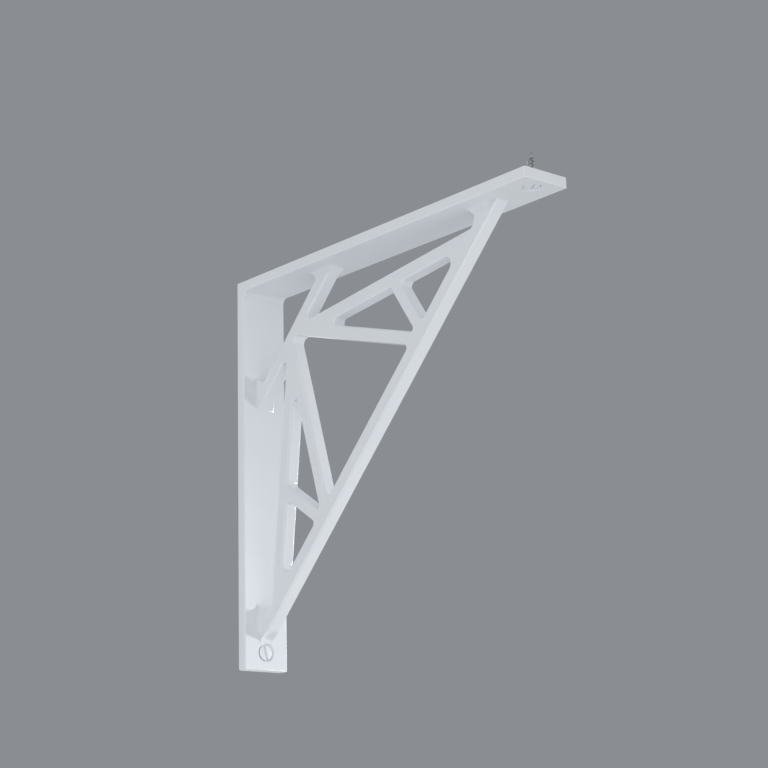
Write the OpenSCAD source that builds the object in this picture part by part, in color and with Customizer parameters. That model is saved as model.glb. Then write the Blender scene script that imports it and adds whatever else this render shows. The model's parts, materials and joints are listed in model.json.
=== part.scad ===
// Cast iron shelf bracket: two flat legs in an L, braced by a symmetrical truss of slim bars.
// Origin at the corner where the wall face (y = 0) meets the shelf face (z = 0), mid width.
// The shelf leg runs to -Y, the wall leg runs to -Z. Sizes are in mm.

/* [Legs] */
// Length of the leg under the shelf
shelf_leg = 204; // [192:1:400]
// Length of the leg on the wall
wall_leg = 190; // [182:1:400]
// Width of both legs
leg_width = 25; // [18:0.5:50]
// Thickness of both legs
leg_thick = 4.8; // [4:0.1:10]
// Radius in the inside corner between the legs
corner_radius = 3; // [1:0.5:10]
// Radius of the legs' end corners
end_radius = 1.2; // [0.4:0.1:6]
// Radius along the legs' visible edges
leg_edge = 0.9; // [0.3:0.1:1.5]

/* [Truss] */
// Depth of the bars across the width
bar_depth = 7; // [5:0.1:14]
// Thickness of the brace and the outer bars in the side view
bar_thick = 6.7; // [4:0.1:9]
// Thickness of the inner bars and the struts in the side view
inner_thick = 6.2; // [4:0.1:9]
// Thickness of the long diagonal in the side view
diagonal_thick = 7; // [4:0.1:12]
// Reach of the long diagonal's centreline along each leg
diagonal_reach = 177.7; // [150:0.1:180]
// Reach of the corner brace's centreline along each leg
brace_reach = 63.5; // [45:0.5:80]
// Where an outer bar meets the diagonal, as a share of the diagonal
outer_share = 0.093; // [0.06:0.001:0.16]
// Where an inner bar meets the diagonal, as a share of the diagonal
inner_share = 0.309; // [0.25:0.001:0.4]
// Where a short strut leaves its outer bar, as a share of that bar
strut_share = 0.574; // [0.4:0.001:0.7]
// Where a short strut meets the diagonal, as a share of the diagonal
strut_end_share = 0.294; // [0.24:0.001:0.4]
// How far an inner bar starts from the middle of the brace
inner_start = 3.7; // [3:0.1:8]
// Radius along the bars' edges
bar_edge = 1.3; // [0.4:0.1:2]
// Radius in the corners of the windows
window_radius = 2; // [1:0.1:2.5]
// Radius in the windows' narrow corners by the diagonal's ends
narrow_radius = 3.5; // [1.5:0.1:4]
// Radius in the windows' sharp corners by the struts' ends
sharp_radius = 1.2; // [1:0.1:2]
// Radius where the bars spread onto the legs
root_radius = 3; // [1.5:0.1:5]
// Radius outside the diagonal's ends
outer_radius = 3.5; // [2:0.5:12]
// How far that spread ends before the diagonal's outer face
spread_setback = 2.4; // [1:0.1:5]

/* [Screws] */
// Distance of a hole from the end of its leg
hole_inset = 8.6; // [7:0.1:20]
// Diameter of a hole at the leg's flat back
hole_d = 4.8; // [4.4:0.1:6]
// Diameter of a countersink at its mouth
sink_d = 9.2; // [8.6:0.1:12]
// Diameter of the flat seat round a countersink
seat_d = 9.8; // [9:0.1:12]
// Radius where the truss rises from that seat
seat_radius = 3; // [1:0.1:4]
// Diameter of a screw's head
head_d = 8.2; // [7:0.1:11]
// Diameter of a screw's plain shank
shank_d = 4.2; // [3:0.1:4.3]
// Diameter of a screw's core below its thread
core_d = 3; // [2:0.1:4]
// Length of a screw, head included
screw_length = 16; // [12:1:60]
// Width of a screw's slot
slot_width = 1.3; // [0.8:0.1:2]
// Depth of a screw's slot
slot_depth = 1.1; // [0.6:0.1:1.4]
// Turn of the wall screw's slot from upright
wall_slot_turn = 14; // [-90:1:90]
// Turn of the shelf screw's slot from the leg's length
shelf_slot_turn = 24; // [-90:1:90]

/* [Hidden] */
$fn = 64;
// Surfaces that would only touch are let in by this much
ease = 0.05;
// Round corners are this much wider than their sides ask for, so that they cross them cleanly
swell = 0.04;
// Their soft edges are less so, because four surfaces in one point would tear
edge_swell = 0.02;
// Round corners run on past their sides by this angle
run_on = 16;
// Depth of a screw's head below the leg's face, as its cone lies on the countersink's
head_drop = (sink_d - head_d) / 2;
// Angle by which the room for a driver widens on each side above a seat
driver_flare = 27;
// Share of a screw's length that is head and plain shank, and its point's length over its core
plain_share = 0.36;
point_ratio = 1.6;
// Side view: p runs out from the wall, q runs down from the shelf
shelf_end = [diagonal_reach, 0];
wall_end = [0, diagonal_reach];
brace_shelf = [brace_reach, 0];
brace_wall = [0, brace_reach];
hub = (brace_shelf + brace_wall) / 2;
outer_joint = shelf_end + (wall_end - shelf_end) * outer_share;
inner_joint = shelf_end + (wall_end - shelf_end) * inner_share;
inner_root = hub + [1, -1] * inner_start / sqrt(2);
strut_root = hub + (outer_joint - hub) * strut_share;
strut_end = shelf_end + (wall_end - shelf_end) * strut_end_share;
reach_out = diagonal_reach + diagonal_thick / sqrt(2);
foot_end = reach_out - leg_thick - spread_setback - bar_depth / 2 - root_radius;

// A side is a line from a to b, moved by h to its left, where the window is
function left_of(s) = [s[0].y - s[1].y, s[1].x - s[0].x] / norm(s[1] - s[0]);
function cross2(a, b) = a.x * b.y - a.y * b.x;
function moved(s, r) = s[0] + left_of(s) * (s[2] + r);
function back(s) = [s[1], s[0], s[2]];

// The lines of the side view
shelf_face = [[0, leg_thick - ease], [1, leg_thick - ease], 0];
wall_face = [[leg_thick - ease, 1], [leg_thick - ease, 0], 0];
diagonal = [shelf_end, wall_end, diagonal_thick / 2];
brace = [brace_shelf, brace_wall, bar_thick / 2];
outer_bar = [hub, outer_joint, bar_thick / 2];
inner_bar = [inner_root, inner_joint, inner_thick / 2];
inner_mirror = [[inner_root.y, inner_root.x], [inner_joint.y, inner_joint.x], inner_thick / 2];
strut = [strut_root, strut_end, inner_thick / 2];

// A convex window goes round to the left along its sides, with a radius at each side's far end
function ahead(list, i) = list[(i + 1) % len(list)];
function centre(sides, radii, i) =
  let (
    s = sides[i],
    t = ahead(sides, i),
    r = radii[i],
    d = s[1] - s[0],
    e = t[1] - t[0]
  )
  moved(s, r) + d * cross2(moved(t, r) - moved(s, r), e) / cross2(d, e);
function side_start(sides, radii, i) =
  let (n = len(sides), j = (i + n - 1) % n)
  centre(sides, radii, j) - left_of(sides[i]) * radii[j];
function side_end(sides, radii, i) =
  centre(sides, radii, i) - left_of(sides[i]) * radii[i];
function turn_of(v) = atan2(v.y, v.x);

module window(sides, radii) {
  n = len(sides);
  polygon([
    for (i = [0 : n - 1])
      each [side_start(sides, radii, i), side_end(sides, radii, i)]
  ]);
  for (i = [0 : n - 1])
    translate(centre(sides, radii, i)) circle(radii[i] + swell);
}

// What a round edge leaves off a square one: x into the solid, y down from its face
module edge_profile(r) {
  difference() {
    translate([-0.6, -0.6]) square(r - ease + 0.6);
    translate([r - ease, r - ease]) circle(r);
  }
}

// Rounds the edges of a window at a face, along the listed sides and the corners at their ends
module soft_edges(sides, radii, straight, corners, face, r) {
  for (i = straight) {
    a = side_start(sides, radii, i);
    b = side_end(sides, radii, i);
    translate([a.x, a.y, face])
      rotate([0, 0, turn_of(b - a)])
        rotate([-90, 0, -90]) linear_extrude(norm(b - a)) edge_profile(r);
  }
  for (i = corners) {
    c = centre(sides, radii, i);
    from = turn_of(-left_of(sides[i]));
    to = turn_of(-left_of(ahead(sides, i)));
    translate([c.x, c.y, face])
      rotate([0, 0, from - run_on])
        rotate_extrude(angle = (to - from + 360) % 360 + 2 * run_on)
          translate([radii[i] + edge_swell, 0]) mirror([0, 1]) edge_profile(r);
  }
}

// The windows, each with its sides and its corner radii
corner_window = [[shelf_face, brace, wall_face], [root_radius, root_radius, root_radius]];
leg_window = [
  [shelf_face, diagonal, back(outer_bar), back(brace)],
  [root_radius * 1.5, window_radius, window_radius, root_radius]
];
long_window = [
  [outer_bar, strut, back(inner_bar)],
  [window_radius, sharp_radius, window_radius]
];
end_window = [
  [outer_bar, diagonal, back(strut)],
  [narrow_radius, window_radius, window_radius]
];
big_window = [
  [inner_bar, diagonal, back(inner_mirror), back(brace)],
  [window_radius, window_radius, window_radius, window_radius]
];
// The space outside the diagonal
outside = [
  [shelf_face, [shelf_end * 2, wall_end * 2, 0], wall_face, back(diagonal)],
  [outer_radius, outer_radius, outer_radius, outer_radius]
];

// The truss's outline, which runs on into both legs
module truss_outline() {
  far = reach_out + outer_radius;
  difference() {
    polygon([[0, 0], [far, 0], [far, 1], [1, far], [0, far]]);
    for (w = [corner_window, big_window, outside]) window(w[0], w[1]);
    for (w = [leg_window, long_window, end_window]) {
      window(w[0], w[1]);
      mirror([1, -1]) window(w[0], w[1]);
    }
  }
}

// Rounds the bars' edges on one face of the truss
module bar_edges() {
  face = bar_depth / 2;
  soft_edges(corner_window[0], corner_window[1], [1], [0, 1], face, bar_edge);
  soft_edges(big_window[0], big_window[1], [0 : 3], [0 : 3], face, bar_edge);
  soft_edges(outside[0], outside[1], [3], [2, 3], face, bar_edge);
  for (half = [0, 1])
    mirror([half, -half, 0]) {
      soft_edges(leg_window[0], leg_window[1], [1 : 3], [0 : 3], face, bar_edge);
      soft_edges(long_window[0], long_window[1], [0 : 2], [0 : 2], face, bar_edge);
      soft_edges(end_window[0], end_window[1], [0 : 2], [0 : 2], face, bar_edge);
    }
}

// From the side view to its place: p to -Y, q to -Z
module side_view() {
  rotate([-90, 0, -90]) children();
}

// A bar along p that spreads from the truss's depth to the face of a leg, up to the diagonal's foot
module spread() {
  r = root_radius;
  wide = bar_depth / 2 + r - ease;
  high = r + 2 - ease;
  translate([0, leg_thick - 2, 0]) {
    difference() {
      translate([0, 0, -wide]) cube([foot_end, high, 2 * wide]);
      for (side = [-1, 1])
        translate([-1, high, side * wide])
          rotate([0, 90, 0]) cylinder(r = r, h = foot_end + 2);
    }
    translate([foot_end, 0, 0])
      rotate([-90, 0, 0]) rotate_extrude()
        difference() {
          square([wide + swell, high]);
          translate([wide + swell, high]) circle(r);
        }
  }
}

module truss() {
  side_view() {
    difference() {
      linear_extrude(bar_depth, center = true) truss_outline();
      bar_edges();
      mirror([0, 0, 1]) bar_edges();
    }
    intersection() {
      linear_extrude(leg_width - 2, center = true) truss_outline();
      union() {
        spread();
        mirror([1, -1, 0]) spread();
      }
    }
  }
}

// The space inside the L of the legs
leg_space = [
  [
    [[0, leg_thick], [1, leg_thick], 0],
    [[shelf_leg + 5, 0], [shelf_leg + 5, 1], 0],
    [[1, wall_leg + 5], [0, wall_leg + 5], 0],
    [[leg_thick, 1], [leg_thick, 0], 0]
  ],
  [1, 1, 1, corner_radius]
];

// Rounds the end of a leg that runs along p
module leg_end(length) {
  for (side = [0, 1])
    mirror([0, 0, side])
      translate([length, leg_thick + 1, leg_width / 2])
        rotate([-90, 0, 180]) linear_extrude(leg_thick + 2) edge_profile(end_radius);
  translate([length, leg_thick, -leg_width])
    rotate([0, 0, 180]) linear_extrude(2 * leg_width) edge_profile(leg_edge);
}

module legs() {
  side_view()
  difference() {
    linear_extrude(leg_width, center = true)
    difference() {
      square([shelf_leg, wall_leg]);
      window(leg_space[0], leg_space[1]);
    }
    for (side = [0, 1])
      mirror([0, 0, side])
        soft_edges(leg_space[0], leg_space[1], [0, 3], [3], leg_width / 2, leg_edge);
    leg_end(shelf_leg);
    mirror([1, -1, 0]) leg_end(wall_leg);
  }
}

// A hole along +Z from the back of a leg at z = 0 to its countersunk face at z = leg_thick
module sunk_hole() {
  translate([0, 0, -1]) cylinder(d = hole_d, h = leg_thick + 2);
  depth = (sink_d - hole_d) / 2;
  translate([0, 0, leg_thick - depth])
    cylinder(d1 = hole_d, d2 = sink_d + 2, h = depth + 1);
}

// Room for a driver in front of that hole, with a round rise from the seat to its flared wall
module driver_room() {
  r = seat_radius;
  seat = seat_d / 2;
  rise = leg_thick + r - ease;
  wall = [seat + r * cos(driver_flare), rise - r * sin(driver_flare)];
  up = wall_leg;
  rotate_extrude() {
    polygon([
      [0, leg_thick / 2],
      [seat, leg_thick / 2],
      [seat, rise],
      wall,
      wall + up * [sin(driver_flare), cos(driver_flare)],
      [0, wall.y + up * cos(driver_flare)]
    ]);
    translate([seat, rise]) circle(r + swell);
  }
}

// A slotted screw along +Z in the same place, head up
module sunk_screw() {
  top = leg_thick - head_drop;
  neck = top - (head_d - shank_d) / 2;
  plain = top - screw_length * plain_share;
  tip = top - screw_length;
  difference() {
    rotate_extrude() polygon([
      [0, tip],
      [core_d / 2, tip + core_d * point_ratio],
      [core_d / 2, plain],
      [shank_d / 2, plain + (shank_d - core_d) / 2],
      [shank_d / 2, neck],
      [head_d / 2, top],
      [0, top]
    ]);
    translate([0, 0, top]) cube([head_d + 1, slot_width, slot_depth * 2], center = true);
  }
}

// Places on the legs, +Z out of the leg's visible face
module at_wall_hole() {
  translate([0, 0, -(wall_leg - hole_inset)]) rotate([90, 0, 0]) children();
}

module at_shelf_hole() {
  translate([0, -(shelf_leg - hole_inset), 0]) rotate([180, 0, 0]) children();
}

module bracket() {
  color("white")
  difference() {
    union() {
      legs();
      difference() {
        truss();
        at_wall_hole() driver_room();
        at_shelf_hole() driver_room();
      }
    }
    at_wall_hole() sunk_hole();
    at_shelf_hole() sunk_hole();
  }
}

module wall_screw() {
  color("gainsboro")
  at_wall_hole() rotate([0, 0, 90 + wall_slot_turn]) sunk_screw();
}

module shelf_screw() {
  color("gainsboro")
  at_shelf_hole() rotate([0, 0, 90 + shelf_slot_turn]) sunk_screw();
}

bracket();
wall_screw();
shelf_screw();
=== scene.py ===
# %% [markdown]
# # A painted cast iron shelf bracket
# The real bracket is one casting: two flat legs in an L, with a truss of slim bars between them.
# It is painted white, and a slotted wood screw holds each leg.
# The solids come in from the CAD frame at their true size and in their true place.
# This lesson gives the casting its smooth skin and its paint, models the screws with their threads,
# and sets up a plain studio with a camera at the photograph's viewing angle.

# %% Load the fixed frame
import json
import math

import bpy
from mathutils import Matrix, Vector

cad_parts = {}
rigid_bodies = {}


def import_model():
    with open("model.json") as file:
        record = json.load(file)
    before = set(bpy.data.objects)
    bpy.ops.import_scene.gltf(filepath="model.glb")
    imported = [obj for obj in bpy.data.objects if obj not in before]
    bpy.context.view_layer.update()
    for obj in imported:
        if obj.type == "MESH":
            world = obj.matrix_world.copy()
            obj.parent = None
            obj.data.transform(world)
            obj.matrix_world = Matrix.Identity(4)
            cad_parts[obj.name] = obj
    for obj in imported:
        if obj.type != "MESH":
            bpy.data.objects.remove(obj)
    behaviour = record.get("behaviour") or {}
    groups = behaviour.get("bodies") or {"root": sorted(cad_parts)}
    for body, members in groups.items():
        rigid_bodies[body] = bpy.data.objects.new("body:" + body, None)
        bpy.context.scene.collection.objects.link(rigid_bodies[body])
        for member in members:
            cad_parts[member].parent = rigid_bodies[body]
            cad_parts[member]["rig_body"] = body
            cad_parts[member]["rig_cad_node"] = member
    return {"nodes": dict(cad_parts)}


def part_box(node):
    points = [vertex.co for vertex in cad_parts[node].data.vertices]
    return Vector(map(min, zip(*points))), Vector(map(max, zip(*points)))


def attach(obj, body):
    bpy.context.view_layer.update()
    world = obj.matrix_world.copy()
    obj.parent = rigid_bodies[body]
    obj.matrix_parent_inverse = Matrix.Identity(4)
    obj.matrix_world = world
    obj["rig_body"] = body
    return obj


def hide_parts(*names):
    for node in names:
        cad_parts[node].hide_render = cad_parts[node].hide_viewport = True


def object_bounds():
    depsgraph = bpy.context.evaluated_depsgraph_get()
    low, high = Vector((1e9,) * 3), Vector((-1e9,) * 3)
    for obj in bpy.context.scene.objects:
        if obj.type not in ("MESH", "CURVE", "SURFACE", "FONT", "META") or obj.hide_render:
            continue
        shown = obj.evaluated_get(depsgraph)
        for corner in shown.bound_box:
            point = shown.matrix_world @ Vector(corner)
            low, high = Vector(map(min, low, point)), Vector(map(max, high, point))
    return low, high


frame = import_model()
cad_low, cad_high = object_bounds()
MM = 0.001
ROOT = "root"
print("nodes:", sorted(frame["nodes"]))
print("size in mm:", [round(side / MM, 1) for side in cad_high - cad_low])

# %% [markdown]
# ## Small helpers
# Operators act on whatever is selected, and the frame's nodes arrive selected.
# So every step starts by selecting just the object that it works on.

# %% Helpers for selecting, applying modifiers and placing
def pick(piece):
    """Selects that piece alone and makes it the active object."""
    bpy.ops.object.select_all(action="DESELECT")
    piece.select_set(True)
    bpy.context.view_layer.objects.active = piece


def apply_modifier(piece, kind, **settings):
    """Adds a modifier of that kind with its settings, and applies it."""
    pick(piece)
    modifier = piece.modifiers.new(kind.title(), kind)
    for name, value in settings.items():
        setattr(modifier, name, value)
    bpy.ops.object.modifier_apply(modifier=modifier.name)


def put_in_mesh(piece):
    """Moves an object's place and turn into its mesh, so that the object sits at the origin."""
    pick(piece)
    bpy.ops.object.transform_apply(location=True, rotation=True, scale=True)


def triangles(piece):
    """How many triangles the piece's mesh makes."""
    return sum(len(face.vertices) - 2 for face in piece.data.polygons)


# %% [markdown]
# ## Shader maths as plain expressions
# A finish is a tree of nodes. Wiring Math nodes by hand is hard to read, so a `Level` wraps a socket
# and Python's own operators add the Math nodes. `Nodes` wraps a tree, and its one method `node` adds
# any other node: its type, then its settings, then the values or links of its sockets.

# %% Classes for nodes
class Level:
    """A number, colour or vector that a node gives."""

    def __init__(self, nodes, socket):
        self.nodes = nodes
        self.socket = socket

    def maths(self, operation, other):
        """A Math node on this level and another level or a number."""
        return self.nodes.node("Math", {"operation": operation}, {0: self, 1: other})

    def __add__(self, other):
        return self.maths("ADD", other)

    def __mul__(self, other):
        return self.maths("MULTIPLY", other)

    __radd__ = __add__
    __rmul__ = __mul__


class Nodes:
    """The node tree of a material or a world."""

    def __init__(self, owner):
        owner.use_nodes = True
        self.tree = owner.node_tree

    def feed(self, socket, value):
        """Links a level to a socket, or sets the socket to a plain value."""
        if isinstance(value, Level):
            self.tree.links.new(value.socket, socket)
        else:
            socket.default_value = value

    def node(self, kind, settings=None, sockets=None, output=0):
        """Adds a node, and gives back one of its outputs as a level."""
        made = self.tree.nodes.new("ShaderNode" + kind)
        for name, value in (settings or {}).items():
            setattr(made, name, value)
        for key, value in (sockets or {}).items():
            self.feed(made.inputs[key], value)
        return Level(self, made.outputs[output])


class Finish(Nodes):
    """A material whose patterns lie on Object coordinates, in metres."""

    def __init__(self, name):
        self.material = bpy.data.materials.new(name)
        super().__init__(self.material)
        self.shader = self.tree.nodes["Principled BSDF"]
        self.place = self.node("TexCoord", output="Object")

    def noise(self, grain, detail):
        """Soft noise from 0 to 1, with patches about as wide as grain, in metres."""
        return self.node("TexNoise", None, {"Vector": self.place, "Scale": 1 / grain, "Detail": detail})

    def blend(self, share, first, second):
        """A colour between two, by a share from 0 to 1."""
        sockets = {"Factor": share, 6: (*first, 1), 7: (*second, 1)}
        return self.node("Mix", {"data_type": "RGBA"}, sockets, output=2)

    def bump(self, height, depth, below=None):
        """A normal that follows height, with depth in metres, over another bump if one is given."""
        sockets = {"Height": height, "Distance": depth}
        if below is not None:
            sockets["Normal"] = below
        return self.node("Bump", None, sockets)

    def surface(self, **sockets):
        """Feeds the shader's own sockets, named in small letters."""
        for name, value in sockets.items():
            self.feed(self.shader.inputs[name.replace("_", " ").title()], value)


# %% [markdown]
# ## White paint over a casting
# The paint is a cool white with a soft gloss. Sand casting leaves slow waves in the surface, and
# the paint itself dries with a fine orange peel. Both are far below a millimetre, so they are bump.
# The colour drifts by a few hundredths, as a coat does where it is thinner or thicker.

# %% Paint
THIN_COAT = (0.73, 0.76, 0.8)
THICK_COAT = (0.795, 0.82, 0.853)
PEEL_DEPTH = 0.006 * MM
WAVE_DEPTH = 0.05 * MM


def white_paint(name):
    paint = Finish(name)
    drift = paint.noise(grain=35 * MM, detail=3.0)
    peel = paint.noise(grain=1.1 * MM, detail=2.0)
    waves = paint.noise(grain=11 * MM, detail=1.0)
    colour = paint.blend(drift, THIN_COAT, THICK_COAT)
    skin = paint.bump(peel, PEEL_DEPTH, below=paint.bump(waves, WAVE_DEPTH))
    paint.surface(base_color=colour, roughness=0.19 + 0.06 * drift, normal=skin)
    return paint.material


enamel = white_paint("white_enamel")
print("paint nodes:", len(enamel.node_tree.nodes))

# %% [markdown]
# ## Bare steel below the paint, and painted shade in the gap
# Only the heads of the screws were brushed over. Their shanks and threads sit in wood and stay
# bright zinc-plated steel, a little duller in patches. The fine gap round a head falls in shade, and
# that shade is painted: the rim's outward faces get a dark colour, which draws the thin ring.

# %% Steel, and painted shade for the gap
DULL_ZINC = (0.50, 0.51, 0.52)
BRIGHT_ZINC = (0.66, 0.66, 0.65)
# Painted shade: dark tones for the gap round a screw head, where shade falls
DARK_GAP_SHADE = (0.05, 0.053, 0.058)
LIGHT_GAP_SHADE = (0.11, 0.113, 0.118)


def zinc_steel(name):
    steel = Finish(name)
    cloud = steel.noise(grain=2.5 * MM, detail=3.0)
    colour = steel.blend(cloud, DULL_ZINC, BRIGHT_ZINC)
    steel.surface(base_color=colour, roughness=0.28 + 0.18 * cloud, metallic=1.0)
    return steel.material


# A dark finish that paints the shade in the gap round a screw head
def paint_gap_shade(name):
    shade_finish = Finish(name)
    shade_noise = shade_finish.noise(grain=0.6 * MM, detail=2.0)
    colour = shade_finish.blend(shade_noise, DARK_GAP_SHADE, LIGHT_GAP_SHADE)
    shade_finish.surface(base_color=colour, roughness=0.6 + 0.2 * shade_noise)
    return shade_finish.material


zinc = zinc_steel("zinc_steel")
gap_shade = paint_gap_shade("painted_gap_shade")
print("steel nodes:", len(zinc.node_tree.nodes), "gap nodes:", len(gap_shade.node_tree.nodes))

# %% [markdown]
# ## The casting
# The frame's mesh has the right shape, but its triangles are loose, so light breaks at every one.
# A copy is merged, and triangles that lie in one plane are dissolved into whole faces. A small bevel
# then takes the last sharp edges, as paint does, and large faces set the normals of the soft ones.

# %% Smooth skin for the casting
MERGE_BELOW = 0.0005 * MM
FLAT_BELOW = math.radians(0.4)
SMOOTH_BELOW = math.radians(40)
EDGE_OF_PAINT = 0.22 * MM


def merged_copy(node_name, piece_name):
    """A copy of a CAD node as one closed mesh, without the frame's own marks."""
    pick(frame["nodes"][node_name])
    bpy.ops.object.duplicate()
    piece = bpy.context.active_object
    piece.name = piece_name
    piece.parent = None
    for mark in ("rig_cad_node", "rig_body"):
        del piece[mark]
    bpy.ops.mesh.customdata_custom_splitnormals_clear()
    bpy.ops.object.mode_set(mode="EDIT")
    bpy.ops.mesh.select_all(action="SELECT")
    bpy.ops.mesh.remove_doubles(threshold=MERGE_BELOW)
    bpy.ops.mesh.dissolve_limited(angle_limit=FLAT_BELOW)
    bpy.ops.object.mode_set(mode="OBJECT")
    return piece


casting = merged_copy("bracket", "painted_casting")
apply_modifier(
    casting,
    "BEVEL",
    width=EDGE_OF_PAINT,
    segments=2,
    limit_method="ANGLE",
    angle_limit=SMOOTH_BELOW,
)
pick(casting)
bpy.ops.object.shade_smooth_by_angle(angle=SMOOTH_BELOW)
apply_modifier(casting, "WEIGHTED_NORMAL", keep_sharp=True)
casting.data.materials.clear()
casting.data.materials.append(enamel)
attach(casting, ROOT)
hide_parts("bracket")
print("casting triangles:", triangles(casting))

# %% [markdown]
# ## A slotted wood screw
# One screw is modelled head down along +Z, then copied into each leg.
# A disc is extruded and scaled ring by ring, just as a lathe would leave it, and a box cuts the slot.
# The head's rim has a short straight land, which leaves the gap to the countersink. Paint has partly
# filled the slot, so it is shallower here than in the bare screw.

# %% Screw sizes
head_low, head_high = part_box("wall_screw")
HEAD_R = (head_high.x - head_low.x) / 2
LENGTH = head_high.y - head_low.y
SHANK_R = 2.1 * MM
CORE_R = 1.5 * MM
NECK = HEAD_R - SHANK_R
PLAIN = 0.36 * LENGTH
POINT = LENGTH - 3.2 * CORE_R
TIP_R = 0.12 * MM
LAND = 0.42 * MM
FACE_R = HEAD_R - LAND
RINGS = [
    (LAND, FACE_R),
    (NECK, SHANK_R),
    (PLAIN - (SHANK_R - CORE_R), SHANK_R),
    (PLAIN, CORE_R),
    (POINT, CORE_R),
    (LENGTH, TIP_R),
]
print("screw length and head in mm:", round(LENGTH / MM, 2), round(2 * HEAD_R / MM, 2))

# %% Turn the screw's body and cut its slot
HEAD_SIDES = 48
SLOT_WIDTH = 1.3 * MM
SLOT_DEPTH = 0.75 * MM
SLOT_EDGE = 0.16 * MM


def turned_body():
    """The screw without slot and thread, from the face of its head at z = 0 to its tip."""
    bpy.ops.object.select_all(action="DESELECT")
    bpy.ops.mesh.primitive_circle_add(vertices=HEAD_SIDES, radius=FACE_R, fill_type="NGON")
    body = bpy.context.active_object
    bpy.ops.object.mode_set(mode="EDIT")
    bpy.ops.mesh.select_all(action="SELECT")
    height, radius = 0.0, FACE_R
    for next_height, next_radius in RINGS:
        step = (0, 0, next_height - height)
        bpy.ops.mesh.extrude_region_move(TRANSFORM_OT_translate={"value": step})
        share = next_radius / radius
        bpy.ops.transform.resize(value=(share, share, 1), center_override=(0, 0, next_height))
        height, radius = next_height, next_radius
    bpy.ops.mesh.select_all(action="SELECT")
    bpy.ops.mesh.normals_make_consistent(inside=False)
    bpy.ops.object.mode_set(mode="OBJECT")
    return body


def cut_slot(body):
    """Cuts the slot across the head and softens the head's edges."""
    bpy.ops.object.select_all(action="DESELECT")
    bpy.ops.mesh.primitive_cube_add(size=1, scale=(4 * HEAD_R, SLOT_WIDTH, 2 * SLOT_DEPTH))
    cutter = bpy.context.active_object
    put_in_mesh(cutter)
    apply_modifier(body, "BOOLEAN", operation="DIFFERENCE", object=cutter, solver="EXACT")
    bpy.data.objects.remove(cutter)
    apply_modifier(body, "BEVEL", width=SLOT_EDGE, segments=3, limit_method="ANGLE")


screw = turned_body()
cut_slot(screw)
print("screw body triangles:", triangles(screw))

# %% [markdown]
# ## The thread
# A wood screw's thread is a sharp ridge round a slim core. A small triangle is swept up a helix by
# the Screw modifier. Then each ring is drawn in, so that the ridge fades into the shank and follows
# the point.

# %% How high the ridge stands
PITCH = 1.7 * MM
THREAD_START = PLAIN + 0.2 * MM
THREAD_END = LENGTH - 0.9 * MM
TURNS = (THREAD_END - THREAD_START) / PITCH
LEAST_SHARE = 0.15
FADE_TURNS = 2.2


def core_radius(height):
    """The core's radius at a height, which falls to the tip along the point."""
    along = max(0.0, height - POINT) / (LENGTH - POINT)
    return CORE_R + (TIP_R - CORE_R) * along


def ridge_share(height):
    """How much of the ridge stands at a height: it grows in at the shank and shrinks at the tip."""
    grown = min(1.0, (height - THREAD_START) / PITCH + LEAST_SHARE)
    left = min(1.0, (THREAD_END - height) / (FADE_TURNS * PITCH) + LEAST_SHARE)
    return max(0.0, min(grown, left))


print("turns of thread:", round(TURNS, 1))

# %% Sweep the thread and join it to the body
RIDGE = SHANK_R - CORE_R
SUNK = 0.12 * MM
STEPS = round(28 * TURNS)


def swept_thread():
    """The thread as a closed ridge, let into the core by the length SUNK."""
    bpy.ops.object.select_all(action="DESELECT")
    # A triangle is one and a half times as high as its circle's radius
    tooth = (RIDGE + SUNK) / 1.5
    bpy.ops.mesh.primitive_circle_add(
        vertices=3,
        radius=tooth,
        rotation=(math.pi / 2, math.pi / 2, 0),
        location=(SHANK_R - tooth, 0, THREAD_START),
    )
    thread = bpy.context.active_object
    put_in_mesh(thread)
    apply_modifier(
        thread,
        "SCREW",
        angle=2 * math.pi * TURNS,
        screw_offset=TURNS * PITCH,
        steps=STEPS,
        render_steps=STEPS,
    )
    for vertex in thread.data.vertices:
        radius = math.hypot(vertex.co.x, vertex.co.y)
        height = vertex.co.z
        stands = (radius - CORE_R) * (ridge_share(height) if radius > CORE_R else 1)
        share = max(core_radius(height) + stands, TIP_R / 2) / radius
        vertex.co.x *= share
        vertex.co.y *= share
    pick(thread)
    bpy.ops.object.mode_set(mode="EDIT")
    bpy.ops.mesh.select_all(action="SELECT")
    bpy.ops.mesh.fill_holes(sides=3)
    bpy.ops.mesh.select_all(action="SELECT")
    bpy.ops.mesh.normals_make_consistent(inside=False)
    bpy.ops.object.mode_set(mode="OBJECT")
    return thread


thread = swept_thread()
apply_modifier(screw, "BOOLEAN", operation="UNION", object=thread, solver="EXACT")
bpy.data.objects.remove(thread)
pick(screw)
bpy.ops.object.shade_smooth_by_angle(angle=SMOOTH_BELOW)
print("screw triangles:", triangles(screw))

# %% [markdown]
# ## Paint on the head, and painted shade on its rim
# The head and its slot were brushed over in the casting's white. Faces below the neck stay steel, and
# faces of the rim that look outward get the dark colour of painted shade, for the gap round the head.

# %% Give the screw its three finishes
ENAMEL, ZINC, GAP_SHADE = range(3)
PAINT_END = NECK - 0.3 * MM
RIM_START = HEAD_R - 1.1 * LAND
OUTWARD_BELOW = 0.5

screw.data.materials.clear()
for finish in (enamel, zinc, gap_shade):
    screw.data.materials.append(finish)
for face in screw.data.polygons:
    on_rim = math.hypot(face.center.x, face.center.y) > RIM_START
    if face.center.z > PAINT_END:
        face.material_index = ZINC
    # the rim's outward faces get a dark colour: painted shade for the gap round the head
    elif on_rim and abs(face.normal.z) < OUTWARD_BELOW:
        face.material_index = GAP_SHADE
given = [face.material_index for face in screw.data.polygons]
print("faces in enamel, zinc, gap:", [given.count(index) for index in (ENAMEL, ZINC, GAP_SHADE)])

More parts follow.
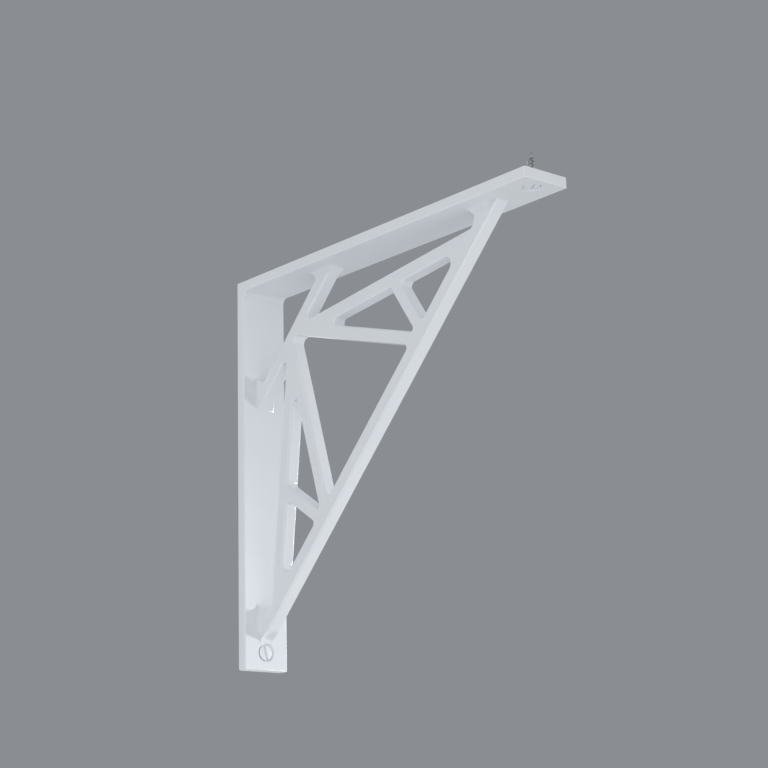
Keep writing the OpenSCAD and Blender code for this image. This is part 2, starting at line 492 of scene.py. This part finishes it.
# %% [markdown]
# ## Into the legs
# Each copy gets its own mesh. The slots stopped at different turns when the screws were driven home:
# the wall screw's leans from upright, and the shelf screw's lies across the leg.

# %% Place a screw in each leg
TO_WALL = Matrix.Rotation(math.radians(-90), 3, "X")
TO_SHELF = Matrix.Identity(3)
WALL_SLOT_TURN = 76
SHELF_SLOT_TURN = 66


def placed_screw(name, node_name, turn, slot_turn):
    """Copies the screw to its node's place, turned into its leg, with its slot at a turn in degrees."""
    pick(screw)
    bpy.ops.object.duplicate()
    copy = bpy.context.active_object
    copy.name = name
    low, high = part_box(node_name)
    axis = turn @ Vector((0, 0, 1))
    middle = (low + high) / 2
    start = middle - axis * LENGTH / 2
    spin = Matrix.Rotation(math.radians(slot_turn), 4, "Z")
    copy.matrix_world = Matrix.Translation(start) @ turn.to_4x4() @ spin
    put_in_mesh(copy)
    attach(copy, ROOT)
    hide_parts(node_name)
    print(name, "head at, in mm:", [round(value / MM, 1) for value in start])


placed_screw("slotted_wall_screw", "wall_screw", TO_WALL, WALL_SLOT_TURN)
placed_screw("slotted_shelf_screw", "shelf_screw", TO_SHELF, SHELF_SLOT_TURN)
bpy.data.objects.remove(screw)

# %% [markdown]
# ## The camera
# The photograph looks up at the bracket from below and from its left. The camera's place and angles
# were fitted to the bracket's own straight edges, so the render lines up with the photograph.

# %% Camera at the photograph's angle
CAMERA_PLACE = Vector((-0.5644, -0.7597, -0.2957))
YAW = math.radians(40.345)
PITCH_UP = math.radians(14.552)
ROLL = math.radians(-1.317)
LENS = 93.08
SENSOR = 36

camera_data = bpy.data.cameras.new("camera")
camera_data.lens = LENS
camera_data.sensor_width = SENSOR
camera = bpy.data.objects.new("camera", camera_data)
bpy.context.scene.collection.objects.link(camera)
forward = Vector((math.sin(YAW), math.cos(YAW), 0)) * math.cos(PITCH_UP)
forward.z = math.sin(PITCH_UP)
level_right = Vector((math.cos(YAW), -math.sin(YAW), 0))
level_up = level_right.cross(forward)
right = level_right * math.cos(ROLL) + level_up * math.sin(ROLL)
up = level_up * math.cos(ROLL) - level_right * math.sin(ROLL)
turn = Matrix((right, up, -forward)).transposed().to_4x4()
camera.matrix_world = Matrix.Translation(CAMERA_PLACE) @ turn
bpy.context.scene.camera = camera
print("camera distance in metres:", round(CAMERA_PLACE.length, 3), "lens in mm:", LENS)

# %% [markdown]
# ## Light
# In the photograph the light is soft, and faces that look down are nearly as pale as the rest. One
# clear lamp stands on the right: it leaves a crisp patch of shade beside the bracket's foot and draws
# thin bright lines on the edges that turn towards it. So most light comes from all round. Soft boxes
# on the left and below lift the faces that the camera sees, and two more do so for the top and the
# back. A spot in a snoot lights the lower half from the right, so the paint darkens towards the corner.

# %% Lamps
AIM = (cad_low + cad_high) / 2


def hang_lamp(name, kind, place, aim, power):
    """Adds a lamp of that kind at its place and turns it to its aim. Power is in watts."""
    data = bpy.data.lights.new(name, kind)
    data.energy = power
    lamp = bpy.data.objects.new(name, data)
    lamp.location = place
    lamp.rotation_mode = "QUATERNION"
    lamp.rotation_quaternion = (Vector(aim) - Vector(place)).to_track_quat("-Z", "Y")
    bpy.context.scene.collection.objects.link(lamp)
    print(name, "power in watts:", round(power, 1))
    return data


def soft_box(name, place, width, height, brightness):
    """A lamp of that size, aimed at the bracket. Brightness 1 is that of a white card in full light."""
    data = hang_lamp(name, "AREA", place, AIM, brightness * math.pi * width * height)
    data.shape = "RECTANGLE"
    data.size = width
    data.size_y = height


def spot_lamp(name, place, aim, radius, cone, softness, power):
    """A round lamp in a snoot, whose cone in degrees ends softly."""
    data = hang_lamp(name, "SPOT", place, aim, power)
    data.shadow_soft_size = radius
    data.spot_size = math.radians(cone)
    data.spot_blend = softness


soft_box("left_box", (-1.7, -0.4, -0.1), width=2.4, height=2.0, brightness=0.45)
soft_box("back_box", (0.5, 1.8, 0.2), width=1.6, height=1.4, brightness=0.75)
soft_box("low_box", (-0.2, -0.5, -0.98), width=1.6, height=1.6, brightness=0.78)
soft_box("top_box", (0.3, 0.3, 1.6), width=1.2, height=1.2, brightness=0.9)
spot_lamp(
    "key_spot",
    (1.8, -0.945, -0.06),
    aim=(0, -0.113, -0.215),
    radius=0.18,
    cone=12,
    softness=0.6,
    power=150.0,
)

# %% [markdown]
# ## Floor and backdrop
# White paint needs a backdrop that is darker than itself, so the studio is a plain grey.
# The world shows that grey to the camera and in reflections, and lights the bracket with white.
# The floor lies well below, because the camera looks up at the bracket.

# %% Floor
FLOOR_DROP = 0.85
FLOOR_SIZE = 14
FLOOR_COLOUR = (0.7, 0.71, 0.72, 1)

bpy.ops.object.select_all(action="DESELECT")
bpy.ops.mesh.primitive_plane_add(size=FLOOR_SIZE, location=(0, 0, cad_low.z - FLOOR_DROP))
floor = bpy.context.active_object
floor.name = "studio_floor"
put_in_mesh(floor)
ground = Finish("pale_floor")
ground.surface(base_color=FLOOR_COLOUR, roughness=0.8)
floor.data.materials.append(ground.material)
print("floor height in metres:", round(cad_low.z - FLOOR_DROP, 2))

# %% Backdrop
BACKDROP = (0.255, 0.267, 0.284, 1)
AMBIENT = (0.97, 0.985, 1.0, 1)
AMBIENT_LEVEL = 0.64

world = bpy.data.worlds.new("studio")
bpy.context.scene.world = world
sky = Nodes(world)
light = sky.node("Background", None, {"Color": AMBIENT, "Strength": AMBIENT_LEVEL})
grey = sky.node("Background", None, {"Color": BACKDROP, "Strength": 1.0})
kinds = ("Is Camera Ray", "Is Glossy Ray", "Is Transmission Ray")
seen = sum(sky.node("LightPath", output=kind) for kind in kinds)
either = sky.node("MixShader", None, {0: seen, 1: light, 2: grey})
sky.feed(sky.tree.nodes["World Output"].inputs["Surface"], either)
bpy.context.scene.view_settings.view_transform = "Standard"
print("world nodes:", len(sky.tree.nodes))
